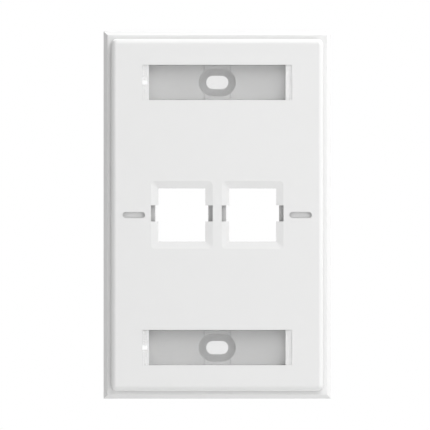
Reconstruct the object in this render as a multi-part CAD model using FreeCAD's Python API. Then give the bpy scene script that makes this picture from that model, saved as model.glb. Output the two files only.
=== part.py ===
import FreeCAD, Part
import os

V = FreeCAD.Vector

# Two-port keystone wall plate with two label windows.
# Upright as on the wall: +Z up, front facing -Y, the wall plane at y = 0.
# The origin lies midway between the two box screw slots. All sizes in mm.

# --- outside of the plate
plate_width = 71.4
plate_height = 115.4
plate_depth = 7.6            # wall plane to front face
edge_band = 1.6              # upright band that meets the wall
slope_width = 1.25           # sloped border, seen from the front
ledge_width = 1.15           # flat ledge between the border and the raised field
field_rise = 4.0             # front face above the ledge
field_round = 1.5            # rounding of the raised field's edge
corner_extra = 0.25          # field corner radius beyond its edge rounding

# --- shell
face_wall = 1.9
side_wall = 1.8
flange_wall = 1.5
hollow_corner = 1.2

# --- box screws
screw_spacing = 83.3         # standard single-gang device spacing, 3-9/32 in
slot_height = 4.15
slot_travel = 2.8            # how far a screw can shift along its slot
dish_height = 8.83           # oval countersink, outside
dish_depth = 2.7
dish_bend = 0.2              # 0 is a plain cone, 0.25 a full bowl
boss_wall = 1.3
boss_setback = 0.1           # boss stops short of the wall plane, so the rim bears

# --- label windows
recess_length = 43.0
recess_height = 11.1
recess_depth = 4.3
recess_floor = 1.4
recess_wall = 1.4
ledge_length = 2.0           # cover seat at each end of the recess
seat_block = 2.5             # material behind a cover seat
seat_line = 0.73             # shallow locating groove across a seat, from the pocket's end
seat_line_width = 0.2
seat_line_depth = 0.12
pad_width = 7.9              # raised pad across the floor at the screw slot
pad_rise = 0.2
groove_width = 0.3
groove_depth = 0.45

# --- clear window covers
cover_thickness = 0.6
tongue_thickness = 0.22      # the cover's ends, which lie on the seats
cover_gap = 0.1              # all round, in plan
seat_gap = 0.03              # under a tongue
grip_thickness = 0.5         # long ribs that grip the walls of the recess
grip_depth = 1.4
pry_width = 1.3
pry_length = 1.55
cover_chamfer = 0.08

# --- keystone ports
port_pitch = 22.25
port_width = 14.72
port_height = 16.66
port_corner = 0.15
bevel_width = 2.33           # shallow bevel round each port
bevel_depth = 0.3
bevel_corner = 1.2
frame_room = 0.94            # frame walls stand back from the port's sides
frame_wall = 1.4
latch_room = 2.0             # pocket above a port for the jack's latch
hook_room = 1.3              # pocket below a port for the jack's fixed hook
rail_wall = 1.5
frame_back = 2.3             # how far the frames reach behind the wall plane
latch_ledge = 1.7            # rear ledge that the latch snaps behind
latch_lead = 0.9             # sloped lead-in of ledge and sill
notch_height = 5.03          # side notches of a port
notch_rise = 0.5             # their centre above the port's centre
notch_depth = 8.4
notch_guard = 0.9            # wall that closes a notch behind the face

# --- small slots beside the ports
mark_offset = 26.2
mark_length = 7.0
mark_height = 1.95
mark_depth = 1.2
mark_pad = 0.9               # extra material behind a mark
mark_margin = 1.3

# --- ribs and ejector pads on the hidden side
rib_wall = 1.0
rib_height = 2.0
upright_rib_x = 23.4
cross_rib_z = 19.0
web_spacing = 14.0           # between the two webs that join the port frames
web_back = 4.0               # their depth behind the face
gusset_foot = 2.6            # gussets that stay the frames' rails
gusset_height = 4.2
gusset_spacing = 10.0
pad_radius = 2.3
pad_height = 0.25
pad_spots = [(-14.0, 26.0), (14.0, 26.0), (-14.0, -26.0), (14.0, -26.0)]

face_y = -plate_depth
ledge_y = face_y + field_rise
face_back_y = face_y + face_wall
floor_y = face_y + recess_depth
floor_back_y = floor_y + recess_floor
seat_y = face_y + tongue_thickness + seat_gap
field_width = plate_width - 2 * (slope_width + ledge_width)
field_height = plate_height - 2 * (slope_width + ledge_width)
pocket_length = recess_length + 2 * ledge_length
frame_inner = port_width / 2 + frame_room
frame_outer = frame_inner + frame_wall
screw_heights = [screw_spacing / 2, -screw_spacing / 2]
port_centres = [-port_pitch / 2, port_pitch / 2]
overshoot = 1.0              # how far a cutting tool runs past the surface it opens
flatness = 1e-4              # an edge this close to a plane counts as lying on it


def block(x_range, y_range, z_range):
    size = [high - low for low, high in (x_range, y_range, z_range)]
    return Part.makeBox(*size, V(x_range[0], y_range[0], z_range[0]))


def rectangle(width, height, y, x=0.0, z=0.0):
    corners = [(-1, -1), (1, -1), (1, 1), (-1, 1), (-1, -1)]
    points = [V(x + a * width / 2, y, z + b * height / 2) for a, b in corners]
    return Part.makePolygon(points)


def rounded_rectangle(width, height, radius, y, x=0.0, z=0.0):
    """Closed outline in an XZ plane, starting at the lower left corner's right end."""
    half_w = width / 2
    half_h = height / 2
    slant = radius * (1 - 0.5 ** 0.5)
    edges = []
    # one straight side and the corner that follows it, four times round
    for side, corner, end in (
        ((-half_w + radius, -half_h), (half_w - radius, -half_h), (half_w, -half_h + radius)),
        ((half_w, -half_h + radius), (half_w, half_h - radius), (half_w - radius, half_h)),
        ((half_w - radius, half_h), (-half_w + radius, half_h), (-half_w, half_h - radius)),
        ((-half_w, half_h - radius), (-half_w, -half_h + radius), (-half_w + radius, -half_h)),
    ):
        start = V(x + side[0], y, z + side[1])
        bend = V(x + corner[0], y, z + corner[1])
        finish = V(x + end[0], y, z + end[1])
        sign_x = 1 if max(corner[0], end[0]) > 0 else -1
        sign_z = 1 if max(corner[1], end[1]) > 0 else -1
        middle = V(x + sign_x * (half_w - slant), y, z + sign_z * (half_h - slant))
        edges.append(Part.makeLine(start, bend))
        edges.append(Part.Arc(bend, middle, finish).toShape())
    return Part.Wire(edges)


def racetrack(travel, height, y, x=0.0, z=0.0):
    """Slot outline with full-round ends, its length along X."""
    half = travel / 2
    radius = height / 2
    top = Part.makeLine(V(x - half, y, z + radius), V(x + half, y, z + radius))
    right = Part.Arc(V(x + half, y, z + radius), V(x + half + radius, y, z), V(x + half, y, z - radius))
    bottom = Part.makeLine(V(x + half, y, z - radius), V(x - half, y, z - radius))
    left = Part.Arc(V(x - half, y, z - radius), V(x - half - radius, y, z), V(x - half, y, z + radius))
    return Part.Wire([top, right.toShape(), bottom, left.toShape()])


def prism(outline, back_y):
    """Extrudes an outline from its own plane to back_y."""
    front_y = outline.BoundBox.YMin
    return Part.Face(outline).extrude(V(0, back_y - front_y, 0))


def edges_on_plane(shape, y):
    return [
        edge for edge in shape.Edges
        if abs(edge.BoundBox.YMin - y) < flatness and abs(edge.BoundBox.YMax - y) < flatness
    ]


# ---------------------------------------------------------------- plate shell

def border():
    """Flat-backed flange whose front edge slopes in with mitred corners."""
    band = prism(rectangle(plate_width, plate_height, -edge_band), 0)
    foot = rectangle(plate_width, plate_height, -edge_band)
    top = rectangle(plate_width - 2 * slope_width, plate_height - 2 * slope_width, ledge_y)
    slope = Part.makeLoft([foot, top], True, True)
    return band.fuse(slope)


def raised_field():
    outline = rounded_rectangle(field_width, field_height, field_round + corner_extra, face_y)
    field = prism(outline, ledge_y + flange_wall)
    return field.makeFillet(field_round, edges_on_plane(field, face_y))


def hollow():
    """The open back, stepped so that border and field keep an even wall."""
    wide = rounded_rectangle(
        plate_width - 2 * flange_wall, plate_height - 2 * flange_wall, hollow_corner,
        ledge_y + flange_wall)
    narrow = rounded_rectangle(
        field_width - 2 * side_wall, field_height - 2 * side_wall, hollow_corner, face_back_y)
    return prism(wide, overshoot).fuse(prism(narrow, overshoot))


def back_ribs():
    """Low ribs and ejector pads on the back of the face."""
    inner_w = field_width - side_wall
    run = screw_spacing / 2 - recess_height / 2
    y_range = (face_back_y - face_wall / 2, face_back_y + rib_height)
    parts = []
    for side in (-1, 1):
        x = side * upright_rib_x
        z = side * cross_rib_z
        parts.append(block((x - rib_wall / 2, x + rib_wall / 2), y_range, (-run, run)))
        parts.append(block((-inner_w / 2, inner_w / 2), y_range, (z - rib_wall / 2, z + rib_wall / 2)))
    for x, z in pad_spots:
        start = V(x, face_back_y - face_wall / 2, z)
        parts.append(Part.makeCylinder(pad_radius, face_wall / 2 + pad_height, start, V(0, 1, 0)))
    return parts


# ---------------------------------------------------------------- label windows

def window_backing(z):
    """Walls and floor of the label recess, the two cover seats and the screw boss."""
    long_box = block(
        (-recess_length / 2 - recess_wall, recess_length / 2 + recess_wall),
        (face_back_y - face_wall / 2, floor_back_y),
        (z - recess_height / 2 - recess_wall, z + recess_height / 2 + recess_wall))
    seats = block(
        (-pocket_length / 2 - recess_wall, pocket_length / 2 + recess_wall),
        (face_back_y - face_wall / 2, seat_y + seat_block),
        (z - recess_height / 2 - recess_wall, z + recess_height / 2 + recess_wall))
    boss = prism(
        racetrack(slot_travel, dish_height + 2 * boss_wall, floor_back_y - recess_floor / 2, z=z),
        -boss_setback)
    return [long_box, seats, boss]


def screw_seat(z):
    """Bowl and slot for an oval-head screw. One half profile is turned half round at both ends
    of the slot and drawn straight between them."""
    rim = dish_height / 2
    throat = slot_height / 2
    reach = rim - throat
    low = floor_y + dish_depth
    # the bowl is steep at its rim and levels out towards the slot
    bulge = V(0, floor_y + (0.5 + dish_bend) * dish_depth, rim - (0.5 - dish_bend) * reach)
    bowl = Part.Arc(V(0, floor_y, rim), bulge, V(0, low, throat)).toShape()
    back = Part.makePolygon([
        V(0, low, throat), V(0, overshoot, throat), V(0, overshoot, 0), V(0, floor_y - pad_rise, 0),
        V(0, floor_y - pad_rise, rim), V(0, floor_y, rim)])
    half_profile = Part.Face(Part.Wire([bowl] + back.Edges))
    half = slot_travel / 2
    solids = []
    for side in (-1, 1):
        turned = half_profile.revolve(V(0, 0, 0), V(0, side, 0), 180)
        turned.translate(V(side * half, 0, z))
        solids.append(turned)
    for turn in (0, 180):
        drawn = half_profile.copy()
        drawn.rotate(V(0, 0, 0), V(0, 1, 0), turn)
        drawn.translate(V(-half, 0, z))
        solids.append(drawn.extrude(V(slot_travel, 0, 0)))
    return solids[0].multiFuse(solids[1:]).removeSplitter()


def window_cut(z):
    """What is taken out of the plate for one label window."""
    half_l = recess_length / 2
    half_h = recess_height / 2
    recess = block((-half_l, half_l), (face_y - overshoot, floor_y), (z - half_h, z + half_h))
    pad = block((-pad_width / 2, pad_width / 2), (floor_y - pad_rise, floor_y), (z - half_h, z + half_h))
    seat = block(
        (-pocket_length / 2, pocket_length / 2), (face_y - overshoot, seat_y), (z - half_h, z + half_h))
    cuts = [recess.cut(pad), seat]
    for side in (-1, 1):
        x = side * (pad_width + groove_width) / 2
        cuts.append(block(
            (x - groove_width / 2, x + groove_width / 2),
            (floor_y - overshoot, floor_y + groove_depth), (z - half_h, z + half_h)))
    for side in (-1, 1):
        x = side * (pocket_length / 2 - seat_line)
        cuts.append(block(
            (x - seat_line_width / 2, x + seat_line_width / 2),
            (seat_y - overshoot, seat_y + seat_line_depth), (z - half_h, z + half_h)))
    cuts.append(pry_notch(z, -pocket_length / 2, cover_gap + pry_length, face_back_y + recess_depth))
    cuts.append(screw_seat(z))
    return cuts


def pry_notch(z, end_x, length, back_y):
    """Round-ended notch that runs in from end_x, for the tool that lifts a cover."""
    radius = pry_width / 2
    centre = end_x + length - radius
    straight = block((end_x, centre), (face_y - overshoot, back_y), (z - radius, z + radius))
    round_end = Part.makeCylinder(
        radius, back_y - face_y + overshoot, V(centre, face_y - overshoot, z), V(0, 1, 0))
    return straight.fuse(round_end)


def window_cover(z):
    """Clear cover, flush with the face. Thin tongues lie on the seats, and long ribs grip the recess."""
    length = pocket_length - 2 * cover_gap
    height = recess_height - 2 * cover_gap
    back_y = face_y + cover_thickness
    sheet = prism(rectangle(length, height, face_y, z=z), face_y + tongue_thickness)
    sheet = sheet.makeChamfer(cover_chamfer, edges_on_plane(sheet, face_y))
    reach = recess_length / 2 - cover_gap
    pane = block(
        (-reach, reach), (face_y + tongue_thickness / 2, back_y), (z - height / 2, z + height / 2))
    thick = [pane]
    for side in (-1, 1):
        spread = sorted((z + side * height / 2, z + side * (height / 2 - grip_thickness)))
        thick.append(block(
            (-reach, reach), (back_y - tongue_thickness / 2, back_y + grip_depth), tuple(spread)))
    cover = sheet.multiFuse(thick)
    cover = cover.cut(pry_notch(z, -length / 2, pry_length, back_y + overshoot))
    return cover.removeSplitter()


# ---------------------------------------------------------------- keystone ports

def port_frame(x):
    """Frame behind one port: side walls, latch rail above, hook rail below."""
    top = port_height / 2 + latch_room
    bottom = -port_height / 2 - hook_room
    frame = block(
        (x - frame_outer, x + frame_outer), (face_back_y - face_wall / 2, frame_back),
        (bottom - rail_wall, top + rail_wall))
    guard = block(
        (x - frame_outer - notch_guard, x + frame_outer + notch_guard),
        (face_back_y - face_wall / 2, face_y + notch_depth + notch_guard),
        (notch_rise - notch_height / 2 - notch_guard, notch_rise + notch_height / 2 + notch_guard))
    frame = frame.fuse(guard)
    room = block(
        (x - frame_inner, x + frame_inner), (face_back_y, frame_back + overshoot), (bottom, top))
    frame = frame.cut(room)
    # rear ledge for the latch, sloped so that the latch rides over it
    low = port_height / 2
    ledge = Part.makePolygon([
        V(x - frame_inner, frame_back - latch_ledge, top),
        V(x - frame_inner, frame_back - latch_ledge, low),
        V(x - frame_inner, frame_back - latch_lead, low),
        V(x - frame_inner, frame_back, low + latch_lead),
        V(x - frame_inner, frame_back, top),
        V(x - frame_inner, frame_back - latch_ledge, top)])
    ledge = Part.Face(ledge).extrude(V(2 * frame_inner, 0, 0))
    # the sill below slopes too, so that a jack tilts in hook first
    sill = Part.makePolygon([
        V(x - frame_inner, frame_back + overshoot, bottom),
        V(x - frame_inner, frame_back + overshoot, bottom - latch_lead - overshoot),
        V(x - frame_inner, frame_back - latch_lead, bottom),
        V(x - frame_inner, frame_back + overshoot, bottom)])
    sill = Part.Face(sill).extrude(V(2 * frame_inner, 0, 0))
    return frame.fuse(ledge).cut(sill)


def port_cut(x):
    """Opening, shallow bevel and side notches of one port."""
    opening = prism(
        rounded_rectangle(port_width, port_height, port_corner, face_y - overshoot, x=x),
        face_back_y + overshoot)
    outer = rounded_rectangle(
        port_width + 2 * bevel_width, port_height + 2 * bevel_width, bevel_corner, face_y, x=x)
    inner = rounded_rectangle(port_width, port_height, port_corner, face_y + bevel_depth, x=x)
    bevel = Part.makeLoft([outer, inner], True, True)
    notch = block(
        (x - frame_outer, x + frame_outer), (face_y - overshoot, face_y + notch_depth),
        (notch_rise - notch_height / 2, notch_rise + notch_height / 2))
    return [opening, bevel, notch]


def rail_gussets(x):
    """Triangles that stay the upper and lower rails of a frame against the face."""
    top = port_height / 2 + latch_room + rail_wall
    bottom = port_height / 2 + hook_room + rail_wall
    root_y = face_back_y - face_wall / 2
    gussets = []
    for rail_z, way in ((top, 1), (-bottom, -1)):
        for side in (-1, 1):
            left = x + side * gusset_spacing / 2 - rib_wall / 2
            inside = rail_z - way * rail_wall / 2
            outline = Part.makePolygon([
                V(left, root_y, inside),
                V(left, root_y, rail_z + way * gusset_foot),
                V(left, face_back_y, rail_z + way * gusset_foot),
                V(left, face_back_y + gusset_height, rail_z),
                V(left, face_back_y + gusset_height, inside),
                V(left, root_y, inside)])
            gussets.append(Part.Face(outline).extrude(V(rib_wall, 0, 0)))
    return gussets


def frame_webs():
    """Two webs that join the frames across the gap between them."""
    reach = port_pitch / 2 - frame_outer + frame_wall / 2
    webs = []
    for side in (-1, 1):
        z = side * web_spacing / 2
        webs.append(block(
            (-reach, reach), (face_back_y - face_wall / 2, face_back_y + web_back),
            (z - rib_wall / 2, z + rib_wall / 2)))
    return webs


# ---------------------------------------------------------------- small slots

def mark_backing(x):
    outline = racetrack(
        mark_length - mark_height, mark_height + 2 * mark_margin, face_back_y - face_wall / 2, x=x)
    return prism(outline, face_back_y + mark_pad)


def mark_cut(x):
    outline = racetrack(mark_length - mark_height, mark_height, face_y - overshoot, x=x)
    return prism(outline, face_y + mark_depth)


def faceplate():
    plate = border().fuse(raised_field()).cut(hollow())
    additions = back_ribs() + frame_webs()
    for z in screw_heights:
        additions += window_backing(z)
    for x in port_centres:
        additions.append(port_frame(x))
        additions += rail_gussets(x)
    for side in (-1, 1):
        additions.append(mark_backing(side * mark_offset))
    plate = plate.multiFuse(additions)
    cuts = []
    for z in screw_heights:
        cuts += window_cut(z)
    for x in port_centres:
        cuts += port_cut(x)
    for side in (-1, 1):
        cuts.append(mark_cut(side * mark_offset))
    plate = plate.cut(cuts)
    return plate.removeSplitter()


def save(shape, node):
    solid = shape.Solids[0]
    print(node, "solids", len(shape.Solids), "valid", shape.isValid(), "volume", round(solid.Volume, 1))
    solid.exportStep(os.path.join("parts", node + ".step"))


os.makedirs("parts", exist_ok=True)
save(faceplate(), "faceplate")
save(window_cover(screw_heights[0]), "window_cover_upper")
save(window_cover(screw_heights[1]), "window_cover_lower")
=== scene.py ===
import math

import bpy
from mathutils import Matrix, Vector


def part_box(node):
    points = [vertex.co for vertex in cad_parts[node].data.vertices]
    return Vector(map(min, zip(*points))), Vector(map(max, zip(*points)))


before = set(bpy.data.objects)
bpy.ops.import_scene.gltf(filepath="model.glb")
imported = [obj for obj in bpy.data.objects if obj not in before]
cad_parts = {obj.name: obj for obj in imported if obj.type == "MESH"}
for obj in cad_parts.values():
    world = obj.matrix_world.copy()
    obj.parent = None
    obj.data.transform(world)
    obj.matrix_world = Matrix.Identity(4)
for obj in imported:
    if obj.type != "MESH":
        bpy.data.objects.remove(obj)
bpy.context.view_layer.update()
print("frame loaded:", ", ".join(sorted(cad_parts)))

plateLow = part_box("faceplate")[0]


def newMaterial(name):
    material = bpy.data.materials.new(name)
    material.use_nodes = True
    material.node_tree.nodes.clear()
    return material, material.node_tree.nodes, material.node_tree.links


def dress(nodeName, material):
    # every slot of the part takes the same finish
    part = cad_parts[nodeName]
    if not part.material_slots:
        part.data.materials.append(material)
    for slot in part.material_slots:
        slot.material = material


def sums(nodes, links, steps):
    # a chain of sums: each step is what to do, the first figure and the second one,
    # and a first figure that is left out is the result so far
    result = None
    for operation, first, second in steps:
        node = nodes.new("ShaderNodeMath")
        node.operation = operation
        for place, figure in ((0, result if first is None else first), (1, second)):
            if isinstance(figure, (int, float)):
                node.inputs[place].default_value = figure
            elif figure is not None:
                links.new(figure, node.inputs[place])
        result = node.outputs["Value"]
    return result


def spread(nodes, links, figure, fromSpan, toSpan):
    # carries a figure from one span over to another
    node = nodes.new("ShaderNodeMapRange")
    ends = ("From Min", "From Max", "To Min", "To Max")
    for end, value in zip(ends, (*fromSpan, *toSpan)):
        node.inputs[end].default_value = value
    links.new(figure, node.inputs["Value"])
    return node


def noise(nodes, links, place, look):
    node = nodes.new("ShaderNodeTexNoise")
    for socket, value in look.items():
        node.inputs[socket].default_value = value
    links.new(place.outputs["Object"], node.inputs["Vector"])
    return node.outputs["Fac"]


def lengthOf(nodes, links, vector):
    node = nodes.new("ShaderNodeVectorMath")
    node.operation = "LENGTH"
    links.new(vector, node.inputs[0])
    return node.outputs["Value"]


def mixed(nodes, links, share, first, second, surface):
    # two shaders by the share of the second one
    node = nodes.new("ShaderNodeMixShader")
    links.new(share, node.inputs["Fac"])
    links.new(first, node.inputs[1])
    links.new(second, node.inputs[2])
    links.new(node.outputs["Shader"], surface)


# white moulded plastic: satin front, duller back with faint flow marks
whitePlastic = {
    "colour": (0.735, 0.735, 0.733),
    "shade": 0.012,              # how far the colour drifts over the part
    "flow": {"Scale": 38.0, "Detail": 3.0, "Distortion": 0.8},
    "flowTint": (0.35, 0.65),    # where the drift of the colour starts and ends
    "flowGloss": (0.3, 0.7),     # the same for the gloss
    "gloss": (0.30, 0.38),       # roughness of the front, least and most
    "dullBack": 0.22,            # added to it on the hidden side
    "backTurn": (0.3, 0.8),      # how far a wall turns to the back until it is fully dull
    "index": 1.49,
    "grain": {"Scale": 3200.0, "Detail": 2.0},    # moulding texture, grains per metre
    "grainDepth": 0.0000012,
    "grainStrength": 0.6,
}

# painted shade: slots and recesses are darkened in colour by an occlusion test, as they take a
# little less light than the open face
hollows = {
    "shade": 0.42,               # how much darker the deepest one is
    "reach": 0.005,
    "edge": 0.65,                # openness from which nothing is darkened
    "samples": 12,
}

# painted shade: the two screw seats are darkened in colour, standing in for the shade in their
# deep countersinks
screwSeatShade = {
    "tone": 0.7,
    "spacing": 0.0833,           # between their middles, up the plate
    "travel": 0.0028,            # from end to end of a slot's middle line
    "radius": 0.00445,
    "span": (-0.0033, -0.0004),  # the depths they lie between
}


# painted shade: the colour darkens where the surface is enclosed
def paintedHollowShade(nodes, links, look):
    openness = nodes.new("ShaderNodeAmbientOcclusion")
    openness.samples = look["samples"]
    openness.only_local = True
    openness.inputs["Distance"].default_value = look["reach"]
    shade = spread(nodes, links, openness.outputs["AO"],
                   (0.0, look["edge"]), (1 - look["shade"], 1.0))
    return shade.outputs["Result"]


# painted shade: darkens the colour inside the two screw seats, by where they lie
def paintedSeatShade(nodes, links, place, look):
    spot = nodes.new("ShaderNodeSeparateXYZ")
    links.new(place.outputs["Object"], spot.inputs["Vector"])
    x, y, z = (spot.outputs[axis] for axis in "XYZ")
    # distance from the nearer slot's middle line, above or below the plate's middle
    across = sums(nodes, links, [
        ("ABSOLUTE", x, None),
        ("SUBTRACT", None, look["travel"] / 2),
        ("MAXIMUM", None, 0.0)])
    along = sums(nodes, links, [
        ("ABSOLUTE", z, None),
        ("SUBTRACT", None, look["spacing"] / 2)])
    gap = nodes.new("ShaderNodeCombineXYZ")
    links.new(across, gap.inputs["X"])
    links.new(along, gap.inputs["Y"])
    distance = lengthOf(nodes, links, gap.outputs["Vector"])
    near = sums(nodes, links, [("LESS_THAN", distance, look["radius"])])
    inner = sums(nodes, links, [("GREATER_THAN", y, look["span"][0])])
    outer = sums(nodes, links, [("LESS_THAN", y, look["span"][1])])
    return sums(nodes, links, [
        ("MULTIPLY", near, inner),
        ("MULTIPLY", None, outer),
        ("MULTIPLY", None, look["tone"] - 1),
        ("ADD", None, 1)])


def mouldedPlastic(look):
    material, nodes, links = newMaterial("whiteMoulding")
    out = nodes.new("ShaderNodeOutputMaterial")
    skin = nodes.new("ShaderNodeBsdfPrincipled")
    skin.inputs["IOR"].default_value = look["index"]
    links.new(skin.outputs["BSDF"], out.inputs["Surface"])
    place = nodes.new("ShaderNodeTexCoord")
    flow = noise(nodes, links, place, look["flow"])
    # the colour drifts with the flow of the plastic, and painted shade darkens it in hollows
    # and seats
    tint = nodes.new("ShaderNodeValToRGB")
    low = tuple(c * (1 - look["shade"]) for c in look["colour"])
    for end, position, colour in zip(
            tint.color_ramp.elements, look["flowTint"], (low, look["colour"])):
        end.position = position
        end.color = (*colour, 1)
    links.new(flow, tint.inputs["Fac"])
    level = sums(nodes, links, [
        ("MULTIPLY", paintedSeatShade(nodes, links, place, screwSeatShade),
         paintedHollowShade(nodes, links, hollows))])
    tone = nodes.new("ShaderNodeVectorMath")
    tone.operation = "SCALE"
    links.new(tint.outputs["Color"], tone.inputs[0])
    links.new(level, tone.inputs["Scale"])
    links.new(tone.outputs["Vector"], skin.inputs["Base Color"])
    # gloss drifts too, and the hidden side is duller
    gloss = spread(nodes, links, flow, look["flowGloss"], look["gloss"])
    facing = nodes.new("ShaderNodeNewGeometry")
    turn = nodes.new("ShaderNodeSeparateXYZ")
    links.new(facing.outputs["Normal"], turn.inputs["Vector"])
    rear = spread(nodes, links, turn.outputs["Y"], look["backTurn"], (0.0, look["dullBack"]))
    roughness = sums(nodes, links, [("ADD", gloss.outputs["Result"], rear.outputs["Result"])])
    links.new(roughness, skin.inputs["Roughness"])
    # fine grain of the mould
    relief = nodes.new("ShaderNodeBump")
    relief.inputs["Strength"].default_value = look["grainStrength"]
    relief.inputs["Distance"].default_value = look["grainDepth"]
    links.new(noise(nodes, links, place, look["grain"]), relief.inputs["Height"])
    links.new(relief.outputs["Normal"], skin.inputs["Normal"])
    return material


dress("faceplate", mouldedPlastic(whitePlastic))
print("faceplate: white moulding done")


# clear covers over the label windows: the thin end tongues are clearer than the pane
clearPlastic = {
    "paneTint": (0.68, 0.68, 0.68),
    "tongueTint": (0.9, 0.9, 0.9),
    "paneHalf": 0.0214,          # the pane's half length
    "passes": 0.98,              # share of a lamp's light that each face lets through
    "faces": 2,                  # faces that throw slanting light back
    "straight": 0.5,             # share of soft light that passes unbent
    "index": 1.49,
    "haze": {"Scale": 120.0},
    "hazeSpan": (0.35, 0.65),
    "gloss": (0.0, 0.02),
}


def clearMoulding(look):
    material, nodes, links = newMaterial("clearCover")
    out = nodes.new("ShaderNodeOutputMaterial")
    glass = nodes.new("ShaderNodeBsdfPrincipled")
    glass.inputs["Transmission Weight"].default_value = 1.0
    glass.inputs["IOR"].default_value = look["index"]
    place = nodes.new("ShaderNodeTexCoord")
    haze = noise(nodes, links, place, look["haze"])
    gloss = spread(nodes, links, haze, look["hazeSpan"], look["gloss"])
    links.new(gloss.outputs["Result"], glass.inputs["Roughness"])
    # distance from the middle, along the cover, tells pane from tongue
    along = nodes.new("ShaderNodeSeparateXYZ")
    links.new(place.outputs["Object"], along.inputs["Vector"])
    tongue = sums(nodes, links, [
        ("ABSOLUTE", along.outputs["X"], None),
        ("GREATER_THAN", None, look["paneHalf"])])
    tint = nodes.new("ShaderNodeMix")
    tint.data_type = "RGBA"
    links.new(tongue, tint.inputs["Factor"])
    tint.inputs["A"].default_value = (*look["paneTint"], 1)
    tint.inputs["B"].default_value = (*look["tongueTint"], 1)
    links.new(tint.outputs["Result"], glass.inputs["Base Color"])
    # light on its way into the recess goes straight through, and the more it slants
    # the more of it the two faces throw back
    through = nodes.new("ShaderNodeBsdfTransparent")
    mirrored = nodes.new("ShaderNodeFresnel")
    mirrored.inputs["IOR"].default_value = look["index"]
    facing = nodes.new("ShaderNodeNewGeometry")
    passed = sums(nodes, links, [
        ("SUBTRACT", 1.0, mirrored.outputs["Fac"]),
        ("POWER", None, look["faces"]),
        ("MAXIMUM", None, facing.outputs["Backfacing"]),
        ("MULTIPLY", None, look["passes"])])
    links.new(passed, through.inputs["Color"])
    rays = nodes.new("ShaderNodeLightPath")
    passing = sums(nodes, links, [
        ("MULTIPLY", rays.outputs["Is Diffuse Ray"], look["straight"]),
        ("MAXIMUM", None, rays.outputs["Is Shadow Ray"])])
    mixed(nodes, links, passing, glass.outputs["BSDF"], through.outputs["BSDF"],
          out.inputs["Surface"])
    return material


clearCover = clearMoulding(clearPlastic)
for coverName in ("window_cover_upper", "window_cover_lower"):
    dress(coverName, clearCover)
print("window covers: clear moulding done")


# pale paper floor under the plate's lower edge
paperFloor = {
    "size": 4.0,
    "drop": 0.045,               # floor below the plate's lower edge
    "colour": (0.77, 0.77, 0.77),
    "farColour": (1.0, 1.0, 1.0),
    "fade": (0.25, 1.0),         # where the paper starts and ends its change to the far colour
}

# white all round, with soft light of its own
whiteRoom = {
    "colour": (1.0, 1.0, 1.0),
    "fill": 0.30,                # light that it gives
    "seen": 1.0,                 # how bright it looks, straight on or in a shiny face
}


def seenRays(nodes, links):
    # the rays that show a thing but don't carry its light to others
    rays = nodes.new("ShaderNodeLightPath")
    return sums(nodes, links, [
        ("MAXIMUM", rays.outputs["Is Camera Ray"], rays.outputs["Is Glossy Ray"]),
        ("MAXIMUM", None, rays.outputs["Is Transmission Ray"])])


def floorPaper(look):
    material, nodes, links = newMaterial("floorPaper")
    out = nodes.new("ShaderNodeOutputMaterial")
    paper = nodes.new("ShaderNodeBsdfDiffuse")
    paper.inputs["Color"].default_value = (*look["colour"], 1)
    # far from the plate the paper is seen in one even tone, which lights nothing
    far = nodes.new("ShaderNodeEmission")
    far.inputs["Color"].default_value = (*look["farColour"], 1)
    place = nodes.new("ShaderNodeTexCoord")
    distance = lengthOf(nodes, links, place.outputs["Object"])
    fade = spread(nodes, links, distance, look["fade"], (0.0, 1.0))
    fade.interpolation_type = "SMOOTHSTEP"
    share = sums(nodes, links, [
        ("MULTIPLY", seenRays(nodes, links), fade.outputs["Result"])])
    mixed(nodes, links, share, paper.outputs["BSDF"], far.outputs["Emission"],
          out.inputs["Surface"])
    return material


def layFloor(look):
    half = look["size"] / 2
    z = plateLow.z - look["drop"]
    mesh = bpy.data.meshes.new("floor")
    corners = [(-half, -half, z), (half, -half, z), (half, half, z), (-half, half, z)]
    mesh.from_pydata(corners, [], [(0, 1, 2, 3)])
    mesh.materials.append(floorPaper(look))
    floor = bpy.data.objects.new("floor", mesh)
    bpy.context.scene.collection.objects.link(floor)


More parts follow.
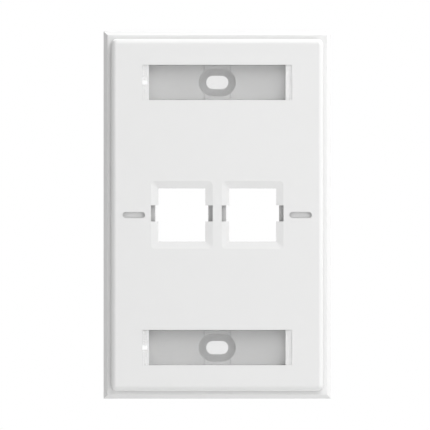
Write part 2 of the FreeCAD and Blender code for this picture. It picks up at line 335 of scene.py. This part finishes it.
def whiteSurround(look):
    world = bpy.data.worlds.new("surround")
    bpy.context.scene.world = world
    world.use_nodes = True
    nodes, links = world.node_tree.nodes, world.node_tree.links
    nodes.clear()
    out = nodes.new("ShaderNodeOutputWorld")
    shown = []
    for strength in (look["fill"], look["seen"]):
        sky = nodes.new("ShaderNodeBackground")
        sky.inputs["Color"].default_value = (*look["colour"], 1)
        sky.inputs["Strength"].default_value = strength
        shown.append(sky.outputs["Background"])
    mixed(nodes, links, seenRays(nodes, links), *shown, out.inputs["Surface"])


layFloor(paperFloor)
whiteSurround(whiteRoom)
print("floor and surround done")


# soft round lamps: degrees to the right of the front, degrees up, metres across, power
lampDistance = 1.2
lamps = {
    "keyLamp": {"side": 75, "height": 50, "size": 0.6, "watts": 10.1},
    "topLamp": {"side": 80, "height": 75, "size": 0.6, "watts": 2.8},
    "upperLamp": {"side": 13, "height": 40, "size": 0.7, "watts": 3.1},
    "rightLamp": {"side": 20, "height": 6, "size": 1.2, "watts": 4.1},
    "middleLamp": {"side": 0, "height": 0, "size": 0.45, "watts": 0.4},
    "backLamp": {"side": 200, "height": 30, "size": 0.7, "watts": 5.0},
}


def hangLamp(name, look):
    side, height = math.radians(look["side"]), math.radians(look["height"])
    light = bpy.data.lights.new(name, "AREA")
    light.shape = "DISK"
    light.size = look["size"]
    light.energy = look["watts"]
    lamp = bpy.data.objects.new(name, light)
    bpy.context.scene.collection.objects.link(lamp)
    way = Vector((
        math.sin(side) * math.cos(height),
        -math.cos(side) * math.cos(height),
        math.sin(height)))
    lamp.location = way * lampDistance
    lamp.rotation_euler = way.to_track_quat("Z", "Y").to_euler()


for lampName, lampLook in lamps.items():
    hangLamp(lampName, lampLook)
print("lamps hung:", len(lamps))


# straight-on camera, level with the middle of the plate
camera = {
    "width": 0.1351,
    "distance": 0.6,
    "aim": (-0.0007, 0.0),       # to the right and up
    "clip": (0.01, 20.0),
}


def setCamera(look):
    lens = bpy.data.cameras.new("camera")
    lens.type = "ORTHO"
    lens.ortho_scale = look["width"]
    lens.clip_start, lens.clip_end = look["clip"]
    eye = bpy.data.objects.new("camera", lens)
    bpy.context.scene.collection.objects.link(eye)
    eye.location = (look["aim"][0], -look["distance"], look["aim"][1])
    eye.rotation_euler = (math.radians(90), 0, 0)
    bpy.context.scene.camera = eye


setCamera(camera)
bpy.context.scene.view_settings.view_transform = "Standard"
print("camera set")
